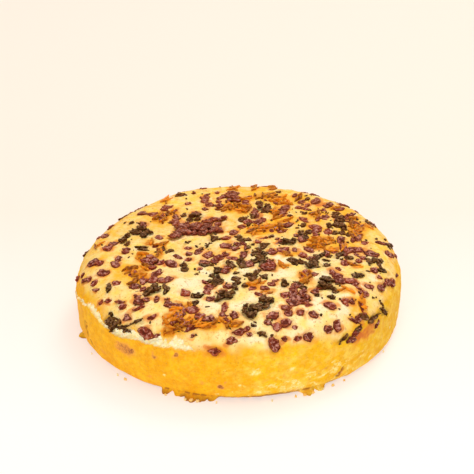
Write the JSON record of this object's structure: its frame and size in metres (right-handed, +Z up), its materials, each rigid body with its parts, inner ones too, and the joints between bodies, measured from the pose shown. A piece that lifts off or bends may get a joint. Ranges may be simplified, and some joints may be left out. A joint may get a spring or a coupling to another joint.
{
  "type": "tea cake",
  "caption": "Whole round tea cake with a smooth golden side, a rounded top edge torn at the front, and a pale top dotted with chopped fruit and candied peel.",
  "frame": {"origin": "middle of the flat base, on the surface the cake stands on", "axes": "+Z up through the cake; -Y is the front, with the torn top edge; +X is its right-hand side seen from the front"},
  "size_m": [0.1813, 0.182, 0.0432],
  "materials": {
    "cake_crust": "matt baked sponge: golden side and base, pale yellow top",
    "red_fruit": "chopped dried red berries, slightly sticky",
    "dark_fruit": "chopped dark raisins and currants, slightly sticky",
    "candied_peel": "translucent orange peel in baked sugar",
    "cake_crumb": "torn pale crumb"
  },
  "bodies": {
    "root": {"cake": "cake_crust"}
  },
  "joints": []
}
